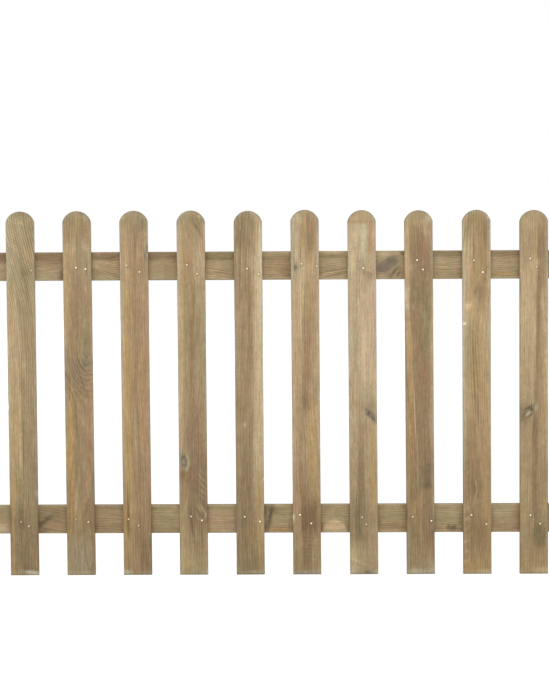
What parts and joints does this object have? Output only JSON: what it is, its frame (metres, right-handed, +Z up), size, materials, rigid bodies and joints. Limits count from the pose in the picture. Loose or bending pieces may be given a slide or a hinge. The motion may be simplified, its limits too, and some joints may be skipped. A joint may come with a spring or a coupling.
{
  "type": "picket fence panel",
  "caption": "Softwood picket fence panel: evenly spaced vertical boards with rounded tops, nailed to the front of an upper and a lower horizontal rail.",
  "frame": {"origin": "middle of the bottom rail's flat back face, which bears on the posts", "axes": "+X along the fence to the right as seen from the front, +Y out of the back, +Z up"},
  "size_m": [1.8, 0.046, 1.15],
  "materials": {
    "picket_wood": "planed pressure-treated softwood, tan with brown and grey-green grain",
    "rail_wood": "planed pressure-treated softwood, khaki with grain along the rail",
    "nail_steel": "bright galvanised wire nail heads"
  },
  "bodies": {
    "root": {"bottom_rail": "rail_wood", "top_rail": "rail_wood", "picket_01": "picket_wood", "picket_02": "picket_wood", "picket_03": "picket_wood", "picket_04": "picket_wood", "picket_05": "picket_wood", "picket_06": "picket_wood", "picket_07": "picket_wood", "picket_08": "picket_wood", "picket_09": "picket_wood", "picket_10": "picket_wood"}
  },
  "joints": []
}
